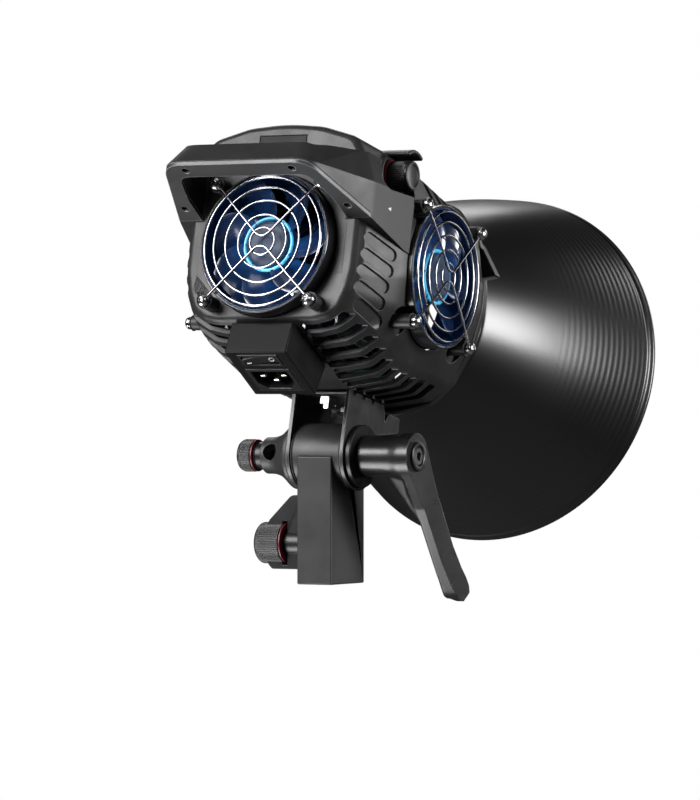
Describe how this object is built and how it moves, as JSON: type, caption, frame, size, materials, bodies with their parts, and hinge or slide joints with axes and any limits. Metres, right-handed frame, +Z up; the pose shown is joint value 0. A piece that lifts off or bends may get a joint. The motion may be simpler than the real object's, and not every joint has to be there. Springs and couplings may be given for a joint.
{
  "type": "monolight strobe",
  "caption": "Studio monolight with a bowl reflector on a bayonet mount, fan-cooled housing with a rear handle, and a tilting stand adapter with lock lever and umbrella holder.",
  "frame": {"origin": "centre of the blind end of the stand socket, where the tip of a 16 mm stand stud stops", "axes": "+Z up along the stand stud, the beam leaves towards -Y (12.5 degrees nose-down at rest), +X along the tilt axis towards the umbrella knob"},
  "size_m": [0.226, 0.3656, 0.29],
  "materials": {
    "housing_plastic": "fine-textured charcoal black",
    "panel_plastic": "smooth dark grey",
    "moulded_black": "satin black",
    "cast_black": "satin black paint on a casting",
    "sheet_black": "black powder coat on folded sheet",
    "bowl_black": "satin black on spun aluminium",
    "guard_chrome": "bright plated wire",
    "steel_screw": "zinc-plated steel",
    "red_ring": "satin red",
    "fan_frame": "translucent blue, lit from inside",
    "fan_blade": "translucent blue, lit from inside",
    "bare_alloy": "plain machined",
    "brass_pin": "plated brass contact",
    "circuit_board": "green solder mask",
    "led_phosphor": "yellow phosphor under clear resin"
  },
  "bodies": {
    "adapter": {"stand_adapter": "cast_black", "pivot_bolt": "steel_screw", "lever_washer": "moulded_black"},
    "stand_knob_body": {"stand_knob": "moulded_black", "stand_knob_ring": "red_ring"},
    "lever": {"tilt_lever": "moulded_black", "lever_screw": "steel_screw"},
    "umbrella_knob_body": {"umbrella_knob": "moulded_black", "umbrella_knob_ring": "red_ring"},
    "dimmer": {"dimmer_knob": "moulded_black", "dimmer_knob_ring": "red_ring"},
    "cct": {"cct_knob": "moulded_black", "cct_knob_ring": "red_ring"},
    "rocker": {"rocker_switch": "moulded_black"},
    "release": {"mount_release": "moulded_black"},
    "bowl": {"reflector": "bowl_black"},
    "rear_rotor": {"rear_fan_rotor": "fan_blade"},
    "left_rotor": {"left_fan_rotor": "fan_blade"},
    "right_rotor": {"right_fan_rotor": "fan_blade"},
    "head": {"u_bracket": "sheet_black", "bracket_screw_1": "steel_screw", "bracket_screw_2": "steel_screw", "umbrella_holder": "cast_black", "rear_shell": "housing_plastic", "top_cover": "housing_plastic", "handle_rim": "housing_plastic", "port_cover": "panel_plastic", "front_ring": "housing_plastic", "bayonet_ring": "bare_alloy", "power_box": "panel_plastic", "switch_frame": "moulded_black", "inlet_socket": "moulded_black", "inlet_pin_line": "brass_pin", "inlet_pin_neutral": "brass_pin", "inlet_pin_earth": "brass_pin", "rear_fan_frame": "fan_frame", "rear_fan_guard": "guard_chrome", "rear_fan_screw_1": "steel_screw", "rear_fan_screw_2": "steel_screw", "rear_fan_screw_3": "steel_screw", "rear_fan_screw_4": "steel_screw", "left_fan_frame": "fan_frame", "left_fan_guard": "guard_chrome", "left_fan_screw_1": "steel_screw", "left_fan_screw_2": "steel_screw", "left_fan_screw_3": "steel_screw", "left_fan_screw_4": "steel_screw", "right_fan_frame": "fan_frame", "right_fan_guard": "guard_chrome", "right_fan_screw_1": "steel_screw", "right_fan_screw_2": "steel_screw", "right_fan_screw_3": "steel_screw", "right_fan_screw_4": "steel_screw", "heat_sink": "bare_alloy", "led_module": "led_phosphor", "driver_board": "circuit_board", "control_board": "circuit_board"}
  },
  "joints": [
    {"name": "head_tilt", "type": "hinge", "parent": "adapter", "child": "head", "pos_m": [0, 0, 0.0327], "axis": [1, 0, 0], "range_deg": [-87.5, 47.5]},
    {"name": "tilt_lever_turn", "type": "hinge", "parent": "adapter", "child": "lever", "pos_m": [-0.04, 0, 0.0327], "axis": [1, 0, 0], "range_deg": [0, 70]},
    {"name": "stand_knob_turn", "type": "hinge", "parent": "adapter", "child": "stand_knob_body", "pos_m": [0.03, 0, -0.0207], "axis": [1, 0, 0], "continuous": true},
    {"name": "umbrella_knob_turn", "type": "hinge", "parent": "head", "child": "umbrella_knob_body", "pos_m": [0.05, 0, 0.0327], "axis": [1, 0, 0], "continuous": true},
    {"name": "dimmer_turn", "type": "hinge", "parent": "head", "child": "dimmer", "pos_m": [0.058, 0.017, 0.20087], "axis": [1, 0, 0], "range_deg": [-150, 150]},
    {"name": "cct_turn", "type": "hinge", "parent": "head", "child": "cct", "pos_m": [-0.058, 0.017, 0.20087], "axis": [-1, 0, 0], "range_deg": [-150, 150]},
    {"name": "power_rocker", "type": "hinge", "parent": "head", "child": "rocker", "pos_m": [0, 0.0854, 0.0912], "axis": [0, 0.8275, 0.5615], "range_deg": [-18, 0]},
    {"name": "reflector_twist", "type": "hinge", "parent": "head", "child": "bowl", "pos_m": [0, -0.06668, 0.12096], "axis": [0, 0.9763, 0.2164], "range_deg": [0, 25]},
    {"name": "release_slide", "type": "slide", "parent": "head", "child": "release", "axis": [0, 0.9763, 0.2164], "range_m": [0, 0.005]},
    {"name": "rear_fan_spin", "type": "hinge", "parent": "head", "child": "rear_rotor", "pos_m": [0, 0.07447, 0.15881], "axis": [0, 0.9763, 0.2164], "continuous": true},
    {"name": "left_fan_spin", "type": "hinge", "parent": "head", "child": "left_rotor", "pos_m": [0.066, -0.00695, 0.14076], "axis": [1, 0, 0], "continuous": true},
    {"name": "right_fan_spin", "type": "hinge", "parent": "head", "child": "right_rotor", "pos_m": [-0.066, -0.00695, 0.14076], "axis": [-1, 0, 0], "continuous": true}
  ]
}
